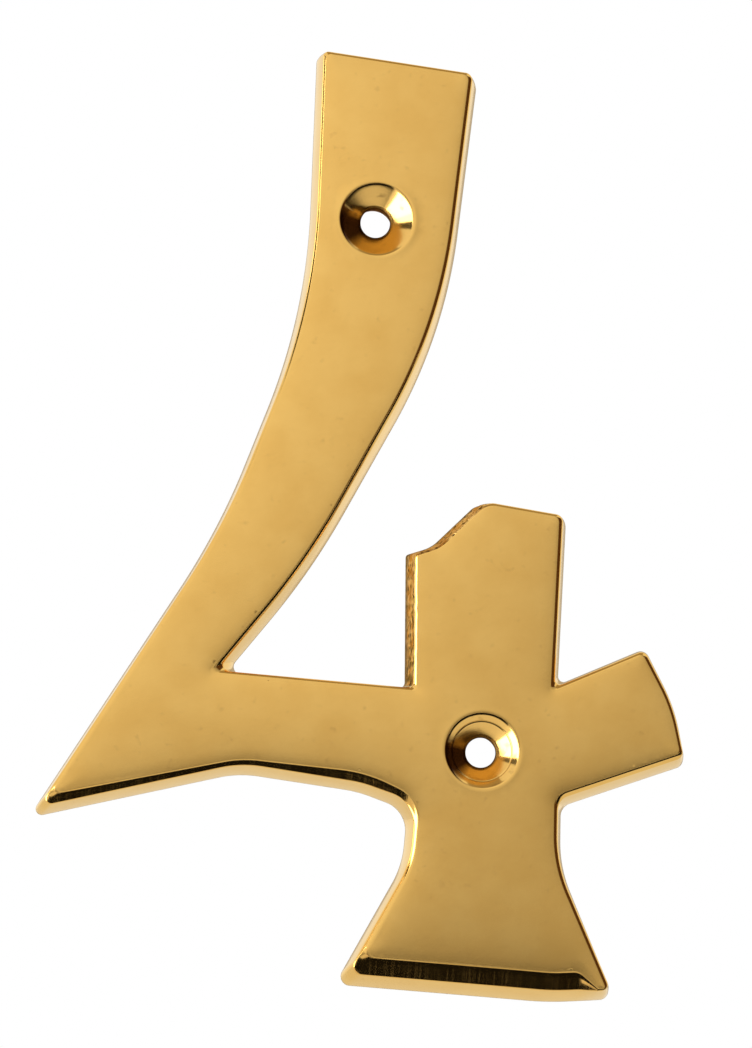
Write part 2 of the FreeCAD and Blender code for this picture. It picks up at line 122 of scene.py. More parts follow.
# The finish that some flanks have grown into where they end
flank_ends = {
    "tip_underside": (6.2, 0.35, 1.0, 0.36, 0.19, 0.0, 0.24),
    "bar_underside": (6.2, 0.35, 1.0, 0.80, 0.40, 0.0, 0.24),
    "haunch_underside": (6.2, 0.35, 1.0, 0.42, 0.21, 0.0, 0.24),
    "toe": (8.0, 0.30, 1.0, 0.16, 0.072, 0.0, 0.15),
    "foot_right": (10.3, 0.48, 0.0, 0.5, 0.5, 0.0, 0.26),
    "arm_end": (10.3, 0.38, 0.0, 0.5, 0.5, 0.0, 0.26),
}

# Columns of the two tables of flanks
lean_column, roll_column, share_column, rise_column, depth_column, ragged_column, spacing_column = range(7)

screw_holes = [(-5.14, 21.38), (5.14, -21.38)]
bore_radius = 1.20
bore_back_radius = 1.55
bore_ease = 0.05
bore_steps = 4
countersink_radius = 2.95
countersink_tilt = math.radians(41.5)
countersink_lip = 0.40
lip_sink = 0.008
lip_steps = 8
scored_radius = 2.42
scored_depth = 0.06
cone_radii = (2.66, scored_radius + 0.08, scored_radius + 0.05, scored_radius,
              scored_radius - 0.05, scored_radius - 0.08, 2.05, 1.75, 1.50, bore_radius + bore_ease)

# ---------------------------------------------------------------- section through the edge

face_slope = math.radians(4.5)
wall_steps = 14
wall_belly = 0.045
knee_radius = 0.12
knee_steps = 4
facet_steps = 3
brow_radius = 0.25
brow_steps = 5
roll_steps = knee_steps + facet_steps + brow_steps
edge_sink = 0.028
edge_sink_reach = 0.45
rim_reach = [0.05, 0.12]


def arc(start_inset, start_height, radius, from_angle, to_angle, steps):
    """A bend of the section, from one direction to another, measured from upright."""
    turns = from_angle + (to_angle - from_angle) * np.arange(1, steps + 1)[:, None] / steps
    centre_inset = start_inset + radius * np.cos(from_angle)
    centre_height = start_height - radius * np.sin(from_angle)
    return centre_inset - radius * np.cos(turns), centre_height + radius * np.sin(turns)


def rolled_section(lean, roll_radius):
    """Wall and rolled edge: inset and height of each row."""
    end = math.pi / 2 - face_slope
    tangent = roll_radius * np.tan((end - lean) / 2)
    start_inset = thickness * np.tan(lean) - tangent * np.sin(lean)
    start_height = thickness - tangent * np.cos(lean)
    insets, heights = arc(start_inset, start_height, roll_radius, lean, end, roll_steps)
    return start_inset, start_height, insets, heights


def facet_section(lean, rise, depth):
    """Wall, flat facet and eased arris, with as many rows as the rolled edge."""
    end = math.pi / 2 - face_slope
    tilt = np.arctan2(rise, depth)
    knee_height = thickness - depth
    knee_run = knee_radius * np.tan((tilt - lean) / 2)
    brow_run = brow_radius * np.tan((end - tilt) / 2)
    start_inset = knee_height * np.tan(lean) - knee_run * np.sin(lean)
    start_height = knee_height - knee_run * np.cos(lean)
    knee, knee_heights = arc(start_inset, start_height, knee_radius, lean, tilt, knee_steps)
    length = np.hypot(rise, depth) - knee_run - brow_run
    parts = np.arange(1, facet_steps + 1)[:, None] / facet_steps
    flat = knee[-1] + parts * length * np.sin(tilt)
    flat_heights = knee_heights[-1] + parts * length * np.cos(tilt)
    brow, brow_heights = arc(flat[-1], flat_heights[-1], brow_radius, tilt, end, brow_steps)
    insets = np.vstack([knee, flat, brow])
    heights = np.vstack([knee_heights, flat_heights, brow_heights])
    return start_inset, start_height, insets, heights


def face_drop(distance):
    """How far the face has sunk close to its rolled edge, at a distance in from it."""
    return edge_sink * np.exp(-distance / edge_sink_reach)


def section_rows(finish):
    """Inset and height of every row, from the back to the soft rim of the face."""
    lean = np.radians(finish[:, lean_column])
    share = finish[:, share_column]
    rolled = rolled_section(lean, finish[:, roll_column])
    faceted = facet_section(lean, finish[:, rise_column], finish[:, depth_column])
    start_inset, start_height, insets, heights = [
        a * (1 - share) + b * share for a, b in zip(rolled, faceted)]
    sunk = thickness - face_drop(0.0) - heights[-1]
    climb = np.linspace(0.0, 1.0, wall_steps + 1)[:, None]
    wall_heights = back_arris + (start_height - back_arris) * climb
    wall_insets = start_inset * wall_heights / start_height - wall_belly * np.sin(np.pi * climb)
    rim = np.array(rim_reach)[:, None]
    back_row = np.full((1, len(finish)), back_arris)
    rows_in = np.vstack([back_row, wall_insets, insets, insets[-1] + rim])
    rows_up = np.vstack([back_row * 0, wall_heights + sunk * climb, heights + sunk,
                         np.repeat(thickness - face_drop(rim), len(finish), axis=1)])
    return rows_in, rows_up


# ---------------------------------------------------------------- outline of every row

fewest_bend_steps = 8
fewest_run_steps = 2

corner_names, corner_x, corner_z, back_bends, face_bends, corner_flanks = zip(*outline_corners)
corner_count = len(corner_names)
corner_places = np.c_[corner_x, corner_z]
back_radii = np.array(back_bends)
face_radii = np.array(face_bends)
flank_finish = np.array([flanks[name] for name in corner_flanks])
flank_finish_end = np.array([flank_ends.get(name, flanks[name]) for name in corner_flanks])
long_bend = face_radii == 0.0
run_directions = np.roll(corner_places, -1, axis=0) - corner_places
run_directions /= np.linalg.norm(run_directions, axis=1)[:, None]
run_normals = np.c_[-run_directions[:, 1], run_directions[:, 0]]
coming = np.roll(run_directions, 1, axis=0)
turn_sides = coming[:, 0] * run_directions[:, 1] - coming[:, 1] * run_directions[:, 0]
outward_corner = turn_sides > 0

# A flank changes gradually at a long bend and at once at a sharp corner
mean_finish = (flank_finish + np.roll(flank_finish_end, 1, axis=0)) / 2
start_finish = np.where(long_bend[:, None], mean_finish, flank_finish)
end_finish = np.where(np.roll(long_bend, -1)[:, None], np.roll(mean_finish, -1, axis=0), flank_finish_end)
start_in, start_up = section_rows(start_finish)
end_in, end_up = section_rows(end_finish)
row_count = len(start_in)
face_row = row_count - len(rim_reach) - 1


def ease(part):
    """A share from 0 to 1 that starts and stops gently."""
    return part * part * (3 - 2 * part)


def crossing(point, direction, other, other_direction):
    """Where two lines meet."""
    gap = other - point
    span = direction[0] * other_direction[1] - direction[1] * other_direction[0]
    reach = (gap[0] * other_direction[1] - gap[1] * other_direction[0]) / span
    return point + direction * reach


def bend_arc(before, corner, after, radius):
    """Centre, first direction and sweep of the arc that eases a corner."""
    back = (before - corner) / np.linalg.norm(before - corner)
    onward = (after - corner) / np.linalg.norm(after - corner)
    half = math.acos(float(np.clip(back @ onward, -1.0, 1.0))) / 2
    middle = back + onward
    centre = corner + middle / np.linalg.norm(middle) * radius / math.sin(half)
    first = corner + back * radius / math.tan(half) - centre
    last = corner + onward * radius / math.tan(half) - centre
    sweep = math.atan2(first[0] * last[1] - first[1] * last[0], float(first @ last))
    return centre, math.atan2(first[1], first[0]), sweep


def row_corners(k):
    """Corner places and bend radii of one row."""
    starts = corner_places + run_normals * start_in[k][:, None]
    ends = np.roll(corner_places, -1, axis=0) + run_normals * end_in[k][:, None]
    ways = ends - starts
    corners = np.array([crossing(starts[i - 1], ways[i - 1], starts[i], ways[i])
                        for i in range(corner_count)])
    inset = (start_in[k] + np.roll(end_in[k], 1)) / 2
    long_radii = np.where(outward_corner, back_radii - inset, back_radii + inset)
    part = min(k / face_row, 1.0) ** 2
    short_radii = back_radii + (face_radii - back_radii) * part
    if k > face_row:
        short_radii = short_radii + rim_reach[k - face_row - 1] * np.where(outward_corner, 0.3, 0.8)
    return corners, np.where(long_bend, long_radii, short_radii)


def row_points(k):
    """Points of one row, with as many round each bend and along each run as in every other row."""
    corners, radii = row_corners(k)
    bends = []
    for i in range(corner_count):
        after = corners[(i + 1) % corner_count]
        centre, first, sweep = bend_arc(corners[i - 1], corners[i], after, radii[i])
        turns = first + sweep * np.linspace(0.0, 1.0, bend_steps[i] + 1)
        bends.append(centre + radii[i] * np.c_[np.cos(turns), np.sin(turns)])
    points = []
    for i, bend in enumerate(bends):
        onward = bends[(i + 1) % corner_count][0]
        parts = np.arange(1, run_steps[i])[:, None] / run_steps[i]
        points += [bend, bend[-1] + (onward - bend[-1]) * parts]
    return np.vstack(points)


def row_levels(k):
    """Heights that belong to the points of one row."""
    levels = []
    for i in range(corner_count):
        part = ease(np.linspace(0.0, 1.0, bend_steps[i] + 1))
        levels.append(end_up[k][i - 1] * (1 - part) + start_up[k][i] * part)
        part = np.arange(1, run_steps[i]) / run_steps[i]
        levels.append(start_up[k][i] * (1 - part) + end_up[k][i] * part)
    return np.concatenate(levels)


bend_steps = []
run_steps = []
flank_names = []
spacings = flank_finish[:, spacing_column]
for i, radius in enumerate(back_radii):
    before, corner, after, following = (corner_places[(i + j) % corner_count] for j in (-1, 0, 1, 2))
    sweep = bend_arc(before, corner, after, radius)[2]
    bend_spacing = min(spacings[i], spacings[i - 1])
    bend_steps.append(max(fewest_bend_steps, math.ceil(abs(sweep) * radius / bend_spacing)))
    next_radius = back_radii[(i + 1) % corner_count]
    next_sweep = bend_arc(corner, after, following, next_radius)[2]
    run = np.linalg.norm(after - corner) - radius * math.tan(abs(sweep) / 2)
    run -= next_radius * math.tan(abs(next_sweep) / 2)
    run_steps.append(max(fewest_run_steps, round(run / spacings[i])))
    half = (bend_steps[i] + 1) // 2
    flank_names += [corner_flanks[i - 1]] * half
    flank_names += [corner_flanks[i]] * (bend_steps[i] + run_steps[i] - half)

rows = [row_points(k) for k in range(row_count)]
row_heights = [row_levels(k) for k in range(row_count)]
along = np.concatenate([[0.0], np.cumsum(np.linalg.norm(np.diff(rows[1], axis=0), axis=1))])

# ---------------------------------------------------------------- crown of the polished face

crown_depth = 0.05
crown_reach = 1.5
points_at_a_time = 256


def edge_distance(points, loop):
    """Distance from each point to the nearest point of a dense loop."""
    best = np.full(len(points), 1e9)
    for start in range(0, len(loop), points_at_a_time):
        part = loop[start:start + points_at_a_time]
        gap = np.linalg.norm(points[:, None, :] - part[None, :, :], axis=2).min(axis=1)
        best = np.minimum(best, gap)
    return best


def face_height(points):
    """Height of the polished face: a soft crown all over, and a closer fall at its rolled edge."""
    loop = rows[face_row]
    lengths = np.linalg.norm(np.roll(loop, -1, axis=0) - np.roll(loop, 1, axis=0), axis=1) / 2
    crown = np.zeros(len(points))
    for start in range(0, len(loop), points_at_a_time):
        stop = start + points_at_a_time
        gap = np.linalg.norm(points[:, None, :] - loop[None, start:stop, :], axis=2)
        crown += (np.exp(-gap / crown_reach) * lengths[None, start:stop]).sum(axis=1)
    fall = face_drop(edge_distance(points, loop))
    return thickness - fall - crown_depth * crown / (2 * crown_reach)


face_sunk = (thickness - face_drop(0.0)) - face_height(rows[face_row])
for k in range(1, face_row + 1):
    share = np.clip((k - wall_steps) / (face_row - wall_steps), 0.0, 1.0)
    row_heights[k] = row_heights[k] - face_sunk * share
for k in range(face_row + 1, row_count):
    row_heights[k] = face_height(rows[k])

# ---------------------------------------------------------------- cast wall and broken corner

lump_pitch = 0.62
lump_seed = 11
pit_pitch = 0.27
pit_seed = 12
bump_columns = 4096
bump_levels = 64
first_level = 8.0
ragged_blur = 4


def inward(points):
    """Direction into the metal at each point of a closed row."""
    ahead = np.roll(points, -1, axis=0) - np.roll(points, 1, axis=0)
    ahead /= np.linalg.norm(ahead, axis=1)[:, None]
    return np.c_[-ahead[:, 1], ahead[:, 0]]


def bumps(along, heights, pitch, seed):
    """Smooth seeded bumps over the outline's length and the wall's height."""
    table = np.random.default_rng(seed).uniform(-1, 1, (bump_columns, bump_levels))
    u = along / pitch
    v = heights / pitch + first_level
    i = np.floor(u).astype(int)
    j = np.floor(v).astype(int)
    a = ease(u - i)
    b = ease(v - j)
    left, right = i % bump_columns, (i + 1) % bump_columns
    under, over = j % bump_levels, (j + 1) % bump_levels
    low = table[left, under] * (1 - a) + table[right, under] * a
    high = table[left, over] * (1 - a) + table[right, over] * a
    return low * (1 - b) + high * b


# Pits and lumps that only bite into the metal, and fade out towards the face
ragged = np.array([flanks[name][ragged_column] for name in flank_names])
ragged = np.concatenate([ragged[-ragged_blur:], ragged, ragged[:ragged_blur]])
ragged = np.convolve(ragged, np.ones(2 * ragged_blur + 1) / (2 * ragged_blur + 1), "valid")
for k in range(2, face_row + 1):
    heights = row_heights[k]
    if k <= wall_steps + 1:
        hold = np.clip((thickness - heights) / 0.3, 0.3, 1.0)
    else:
        hold = 0.45 * (face_row - k) / (face_row - wall_steps - 1)
    lumps = bumps(along, heights, lump_pitch, lump_seed)
    pits = bumps(along, heights, pit_pitch, pit_seed)
    bite = np.maximum(ragged * hold * (0.4 + (lumps * 0.6 + pits * 0.4)), 0.0)
    rows[k] = rows[k] + inward(rows[k]) * bite[:, None]

# ---------------------------------------------------------------- countersunk holes

hole_segments = 112
polished_bands = 5


def hole_rings():
    """Radius and height of each ring of a screw hole, and the number of the first ring of the bore.

    The rings run from the polished face down to the back, where the bore is a little wider.
    """
    lip_start = countersink_radius + countersink_lip * math.tan(countersink_tilt / 2)
    rings = [(lip_start + 0.22, thickness), (lip_start + 0.08, thickness - 0.002)]
    for i in range(lip_steps + 1):
        turn = countersink_tilt * i / lip_steps
        radius = lip_start - countersink_lip * math.sin(turn)
        rings.append((radius, thickness - lip_sink - countersink_lip * (1 - math.cos(turn))))
    cone_top_radius, cone_top = rings[-1]
    for radius in cone_radii:
        rings.append((radius, cone_top - (cone_top_radius - radius) * math.tan(countersink_tilt)))
    bore_from = len(rings) - 1
    cone_foot = rings[-1][1]
    bore_top = cone_foot - 0.10
    rings.append((bore_radius + 0.012, cone_foot - bore_ease))
    rings.append((bore_radius, bore_top))
    for i in range(1, bore_steps + 1):
        radius = bore_radius + (bore_back_radius - bore_radius) * i / bore_steps
        rings.append((radius, bore_top * (1 - i / bore_steps) + bore_ease * i / bore_steps))
    rings.append((bore_back_radius + bore_ease, 0.0))
    return rings, bore_from


rings, bore_start = hole_rings()

# ---------------------------------------------------------------- mesh

polished, cast_skin, ground_back, filed_facet, countersink_cut, drilled_bore = range(6)
filed_flanks = ("tip_underside", "bar_underside", "haunch_underside", "foot_underside", "toe")
casting_mesh = bmesh.new()


def corner_at(x, z, height):
    """A vertex of the casting, from millimetres across, up and out from the back."""
    return casting_mesh.verts.new((x * metre, -height * metre, z * metre))


def join_loops(near, far, finishes):
    """Band of quads between two closed loops of vertices, each quad with its own finish."""
    for i, finish in enumerate(finishes):
        j = (i + 1) % len(near)
        face = casting_mesh.faces.new((near[i], near[j], far[j], far[i]))
        face.material_index = finish
        face.smooth = True


def finish_of_wall(name):
    """The finish of a flank from the back up to its edge."""
    return cast_skin if name in ("cast_wall", "broken") else polished


def finish_of_edge(name):
    """The finish of a flank's edge, where the wall turns into the face."""
    if name == "broken":
        return cast_skin
    return filed_facet if name in filed_flanks else polished


wall_finish = [finish_of_wall(name) for name in flank_names]
edge_finish = [finish_of_edge(name) for name in flank_names]
rim_finish = [polished] * len(flank_names)
loops = []
for points, heights in zip(rows, row_heights):
    loops.append([corner_at(x, z, h) for (x, z), h in zip(points, heights)])
for k in range(len(loops) - 1):
    if 0 < k <= wall_steps:
        join_loops(loops[k], loops[k + 1], wall_finish)
    elif wall_steps < k < face_row - 3:
        join_loops(loops[k], loops[k + 1], edge_finish)
    else:
        join_loops(loops[k], loops[k + 1], rim_finish)

hole_loops = []
for hole_x, hole_z in screw_holes:
    made = []
    for radius, height in rings:
        # The bit has scored one ring round the lower countersink
        if radius == scored_radius and hole_z < 0:
            height -= scored_depth
        ring = []
        for i in range(hole_segments):
            turn = 2 * math.pi * i / hole_segments
            x = hole_x + radius * math.cos(turn)
            z = hole_z + radius * math.sin(turn)
            ring.append(corner_at(x, z, height))
        made.append(ring)
    for ring_number, (near, far) in enumerate(zip(made, made[1:])):
        finish = countersink_cut if ring_number < bore_start else drilled_bore
        if ring_number < polished_bands:
            finish = polished
        join_loops(near, far, [finish] * hole_segments)
    hole_loops.append(made)


def inside_loop(points, loop):
    """Which points lie inside a closed polygon."""
    inside = np.zeros(len(points), bool)
    x, z = points[:, 0], points[:, 1]
    for a, b in zip(loop, np.roll(loop, -1, axis=0)):
        crosses = (a[1] > z) != (b[1] > z)
        if not crosses.any():
            continue
        at = a[0] + (z - a[1]) / (b[1] - a[1] + 1e-30) * (b[0] - a[0])
        inside ^= crosses & (x < at)
    return inside


def grid_points(outer_points, hole_points, pitch, nearest, farthest):
    """Points of an even grid whose distance from the outer loop lies in a range, clear of the holes."""
    low, high = outer_points.min(axis=0), outer_points.max(axis=0)
    columns = np.arange(low[0], high[0], pitch)
    levels = np.arange(low[1], high[1], pitch * 0.866)
    grid = np.array([(x + (j % 2) * pitch / 2, z) for j, z in enumerate(levels) for x in columns])
    grid = grid[inside_loop(grid, outer_points)]
    gap = edge_distance(grid, outer_points)
    keep = (gap > nearest) & (gap < farthest)
    for ring in hole_points:
        centre = ring.mean(axis=0)
        reach = np.linalg.norm(ring[0] - centre)
        keep &= np.linalg.norm(grid - centre, axis=1) > reach + pitch * 0.5
    return grid[keep]


def span_surface(outer, outer_points, holes, hole_points, spare, finish):
    """Fills the space between an outer loop and the hole loops with triangles.

    The spare points lie between them, on the polished face.
    """
    known = list(outer)
    flat = [tuple(p) for p in outer_points]
    edges = [(i, (i + 1) % len(outer)) for i in range(len(outer))]
    for ring, points in zip(holes, hole_points):
        base = len(flat)
        known += ring
        flat += [tuple(p) for p in points]
        edges += [(base + i, base + (i + 1) % len(ring)) for i in range(len(ring))]
    if len(spare):
        for (x, z), height in zip(spare, face_height(spare)):
            known.append(corner_at(x, z, height))
            flat.append((x, z))
    places, _, triangles, origins, _, _ = delaunay_2d_cdt([Vector(p) for p in flat], edges, [], 1, 1e-6)
    where = [origin[0] if origin else None for origin in origins]
    middles = np.array([np.mean([places[i] for i in tri], axis=0) for tri in triangles])
    good = inside_loop(middles, outer_points)
    for points in hole_points:
        centre = points.mean(axis=0)
        good &= np.linalg.norm(middles - centre, axis=1) > np.linalg.norm(points[0] - centre) * 0.999
    for tri, fine in zip(triangles, good):
        if fine:
            face = casting_mesh.faces.new([known[where[i]] for i in tri])
            face.material_index = finish
            face.smooth = True


def ring_points(hole, radius):
    """Points of a ring round a hole, in the plane of the outline."""
    turns = 2 * np.pi * np.arange(hole_segments) / hole_segments
    return np.array(hole) + radius * np.c_[np.cos(turns), np.sin(turns)]


mouth_loops = [made[0] for made in hole_loops]
back_loops = [made[-1] for made in hole_loops]
for loop in mouth_loops:
    levels = face_height(np.array([(v.co.x / metre, v.co.z / metre) for v in loop]))
    for vertex, height in zip(loop, levels):
        vertex.co.y = -height * metre
mouths = [ring_points(hole, rings[0][0]) for hole in screw_holes]
bores = [ring_points(hole, rings[-1][0]) for hole in screw_holes]
face_points = np.vstack([grid_points(rows[-1], mouths, pitch=0.24, nearest=0.12, farthest=1.0),
                         grid_points(rows[-1], mouths, pitch=0.60, nearest=1.25, farthest=99.0)])
span_surface(loops[-1], rows[-1], mouth_loops, mouths, face_points, polished)
span_surface(loops[0], rows[0], back_loops, bores, [], ground_back)
bmesh.ops.recalc_face_normals(casting_mesh, faces=casting_mesh.faces)
number_mesh = bpy.data.meshes.new("cast_number")
casting_mesh.to_mesh(number_mesh)
casting_mesh.free()
cast_number = bpy.data.objects.new("cast_number", number_mesh)
scene.collection.objects.link(cast_number)

# ---------------------------------------------------------------- effects that several finishes share


def feed(tree, socket, value):
    """Sets a socket to a value, or links it from another node."""
    if isinstance(value, bpy.types.NodeSocket):
        tree.links.new(value, socket)
    else:
        socket.default_value = value


def add_node(tree, kind, inputs, **settings):
    """A node with its settings, each input set to a value or linked from another node."""
    node = tree.nodes.new("ShaderNode" + kind)
    for key, value in settings.items():
        setattr(node, key, value)
    for key, value in inputs.items():
        feed(tree, node.inputs[key], value)
    return node


def combine(tree, operation, first, second):
    """Arithmetic on two values."""
    return add_node(tree, "Math", {0: first, 1: second}, operation=operation).outputs[0]


def scaled(tree, place, factors):
    """Coordinates with each axis multiplied by its own factor."""
    return add_node(tree, "VectorMath", {0: place, 1: factors}, operation="MULTIPLY").outputs[0]


def turned(tree, place, degrees):
    """Coordinates turned in the plane of the face."""
    inputs = {"Vector": place, "Angle": math.radians(degrees)}
    return add_node(tree, "VectorRotate", inputs, rotation_type="Y_AXIS").outputs[0]


def spread(tree, value, low, high, to_low=0.0, to_high=1.0):
    """A value stretched from one range to another, and held inside it."""
    inputs = {"Value": value, "From Min": low, "From Max": high, "To Min": to_low, "To Max": to_high}
    return add_node(tree, "MapRange", inputs).outputs["Result"]


def cloud(tree, place, scale, detail):
    """Soft noise, from 0 to 1."""
    return add_node(tree, "TexNoise", {"Vector": place, "Scale": scale, "Detail": detail}).outputs["Fac"]


def new_effect(name, inputs, outputs):
    """An empty shader group: its tree, where its named inputs come in, and where its outputs go."""
    tree = bpy.data.node_groups.new(name, "ShaderNodeTree")
    tree.interface.new_socket("Place", in_out="INPUT", socket_type="NodeSocketVector")
    for label, value in inputs:
        socket = tree.interface.new_socket(label, in_out="INPUT", socket_type="NodeSocketFloat")
        socket.default_value = value
    for label in outputs:
        tree.interface.new_socket(label, in_out="OUTPUT", socket_type="NodeSocketFloat")
    return tree, tree.nodes.new("NodeGroupInput").outputs, tree.nodes.new("NodeGroupOutput").inputs


# Buffed metal: soft unevenness left by the wheel, and faint hairlines in two directions
buffing, enters, leaves = new_effect("buffing", [("Ripple", 0.003), ("Hairlines", 0.0004)],
                                     ["Height", "Mottle", "Wear"])
ripple = combine(buffing, "MULTIPLY", cloud(buffing, enters["Place"], 0.55, 2.0), enters["Ripple"])
one_way = scaled(buffing, turned(buffing, enters["Place"], 32.0), (0.35, 1.0, 9.0))
other_way = scaled(buffing, turned(buffing, enters["Place"], -61.0), (0.30, 1.0, 11.0))
first_lines = cloud(buffing, one_way, 1.0, 3.0)
second_lines = cloud(buffing, other_way, 1.0, 3.0)
hairlines = combine(buffing, "ADD", first_lines, second_lines)
hairlines = combine(buffing, "MULTIPLY", hairlines, enters["Hairlines"])
patches = spread(buffing, cloud(buffing, enters["Place"], 0.32, 4.0), 0.35, 0.68)
worn = spread(buffing, first_lines, 0.56, 0.72)
feed(buffing, leaves["Height"], combine(buffing, "ADD", ripple, hairlines))
feed(buffing, leaves["Mottle"], patches)
feed(buffing, leaves["Wear"], worn)

# Pores of the casting: a few pinholes here and there
pores, enters, leaves = new_effect("pores", [("Pitch", 3.2), ("Size", 0.10), ("Share", 0.12)], ["Mask"])
closeness = combine(pores, "DIVIDE", 1.0, enters["Pitch"])
cells = add_node(pores, "TexVoronoi", {"Vector": enters["Place"], "Scale": closeness})
chance = add_node(pores, "SeparateColor", {"Color": cells.outputs["Color"]}).outputs["Red"]
chosen = combine(pores, "LESS_THAN", chance, enters["Share"])
gap = combine(pores, "MULTIPLY", cells.outputs["Distance"], enters["Pitch"])
core = combine(pores, "MULTIPLY", enters["Size"], 0.5)
dot = spread(pores, gap, core, enters["Size"], 1.0, 0.0)
feed(pores, leaves["Mask"], combine(pores, "MULTIPLY", dot, chosen))

# Tarnish: cloudy brown stain, more of it where Amount is high
tarnish, enters, leaves = new_effect("tarnish", [("Amount", 0.5), ("Grain", 1.6)], ["Mask"])
stain = cloud(tarnish, enters["Place"], enters["Grain"], 6.0)
threshold = combine(tarnish, "SUBTRACT", 0.86, enters["Amount"])
full_stain = combine(tarnish, "ADD", threshold, 0.22)
feed(tarnish, leaves["Mask"], spread(tarnish, stain, threshold, full_stain))

# File marks: fine grooves side by side, running one way
file_marks, enters, leaves = new_effect("file_marks", [("Pitch", 0.16), ("Depth", 0.004)],
                                        ["Height", "Streaks"])
across_grooves = scaled(file_marks, enters["Place"], (1.0, 0.02, 0.02))
closeness = combine(file_marks, "DIVIDE", 1.0, enters["Pitch"])
grooves = cloud(file_marks, across_grooves, closeness, 2.0)
feed(file_marks, leaves["Height"], combine(file_marks, "MULTIPLY", grooves, enters["Depth"]))
feed(file_marks, leaves["Streaks"], spread(file_marks, grooves, 0.48, 0.66))

# Turning marks: rings round the nearest screw hole, left by the countersink bit
turning, enters, leaves = new_effect("turning_marks", [("Pitch", 0.11), ("Depth", 0.0012)],
                                     ["Height", "Radius", "Leftward"])
# Leftward says how far a point lies to the left of and below its hole; it places the painted dark reflection
# in the countersinks
left_and_down = (-0.96, 0.0, -0.28)
hole_reach = 5.0
flat_place = scaled(turning, enters["Place"], (1.0, 0.0, 1.0))
radii_from_holes = []
leftward_parts = []
for hole_x, hole_z in screw_holes:
    from_hole = {0: flat_place, 1: (hole_x, 0.0, hole_z)}
    distance = add_node(turning, "VectorMath", from_hole, operation="DISTANCE").outputs["Value"]
    across = add_node(turning, "VectorMath", from_hole, operation="SUBTRACT").outputs[0]
    lean_left = add_node(turning, "VectorMath", {0: across, 1: left_and_down}, operation="DOT_PRODUCT")
    near = combine(turning, "LESS_THAN", distance, hole_reach)
    radii_from_holes.append(distance)
    leftward_parts.append(combine(turning, "MULTIPLY", lean_left.outputs["Value"], near))
radius = combine(turning, "MINIMUM", *radii_from_holes)
ring_number = combine(turning, "DIVIDE", radius, enters["Pitch"])
ring_place = add_node(turning, "CombineXYZ", {"X": ring_number}).outputs[0]
ring_marks = cloud(turning, ring_place, 1.0, 2.0)
leftward = combine(turning, "DIVIDE", combine(turning, "ADD", *leftward_parts), radius)
feed(turning, leaves["Height"], combine(turning, "MULTIPLY", ring_marks, enters["Depth"]))
feed(turning, leaves["Radius"], radius)
feed(turning, leaves["Leftward"], leftward)

# ---------------------------------------------------------------- finishes of the brass


def new_finish(name, edge_tint=(1.0, 0.97, 0.80)):
    """A metal node material: its tree, its shader, and places on the casting in millimetres."""
    material = bpy.data.materials.new(name)
    material.use_nodes = True
    tree = material.node_tree
    shader = tree.nodes["Principled BSDF"]
    shader.inputs["Metallic"].default_value = 1.0
    shader.inputs["Specular Tint"].default_value = (*edge_tint, 1.0)
    metres = add_node(tree, "TexCoord", {}).outputs["Object"]
    place = add_node(tree, "VectorMath", {0: metres, "Scale": 1000.0}, operation="SCALE").outputs[0]
    return material, tree, shader, place


def effect(tree, group, place, **inputs):
    """A shared effect inside a finish."""
    node = tree.nodes.new("ShaderNodeGroup")
    node.node_tree = group
    feed(tree, node.inputs["Place"], place)
    for key, value in inputs.items():
        feed(tree, node.inputs[key.capitalize()], value)
    return node.outputs


def blend(tree, mask, under, over):
    """One colour over another where the mask is on."""
    node = add_node(tree, "Mix", {0: mask}, data_type="RGBA")
    # The colour sockets of a Mix node share their names with those for numbers
    under_socket, over_socket, mixed_socket = node.inputs[6], node.inputs[7], node.outputs[2]
    for socket, colour in ((under_socket, under), (over_socket, over)):
        if not isinstance(colour, bpy.types.NodeSocket):
            colour = (*colour, 1.0)
        feed(tree, socket, colour)
    return mixed_socket


def finish_with(tree, shader, colour, roughness, height):
    """Colour, gloss and relief into the shader; heights are in millimetres."""
    relief = add_node(tree, "Bump", {"Strength": 1.0, "Distance": metre, "Height": height})
    feed(tree, shader.inputs["Normal"], relief.outputs["Normal"])
    feed(tree, shader.inputs["Base Color"], colour)
    feed(tree, shader.inputs["Roughness"], roughness)


# Polished face, rolled edges and walls
brass, tree, shader, place = new_finish("polished_brass")
wheel = effect(tree, buffing, place)
pinholes = effect(tree, pores, place)["Mask"]
stained = effect(tree, tarnish, place, amount=0.22)["Mask"]
tone = blend(tree, wheel["Mottle"], (0.87, 0.53, 0.145), (0.83, 0.49, 0.125))
tone = blend(tree, combine(tree, "MULTIPLY", stained, 0.35), tone, (0.45, 0.24, 0.07))
tone = blend(tree, pinholes, tone, (0.10, 0.05, 0.02))
gloss = spread(tree, wheel["Wear"], 0.0, 1.0, 0.115, 0.15)
gloss = combine(tree, "ADD", gloss, combine(tree, "MULTIPLY", wheel["Mottle"], 0.02))
sink = combine(tree, "MULTIPLY", pinholes, -0.05)
finish_with(tree, shader, tone, gloss, combine(tree, "ADD", wheel["Height"], sink))

# Flat facets filed along the undersides
filed, tree, shader, place = new_finish("filed_facet")
wheel = effect(tree, buffing, place, hairlines=0.0002)
marks = effect(tree, file_marks, place, pitch=0.11, depth=0.001)
tone = blend(tree, wheel["Mottle"], (0.84, 0.50, 0.13), (0.78, 0.43, 0.11))
gloss = spread(tree, marks["Streaks"], 0.0, 1.0, 0.11, 0.19)
finish_with(tree, shader, tone, gloss, combine(tree, "ADD", wheel["Height"], marks["Height"]))
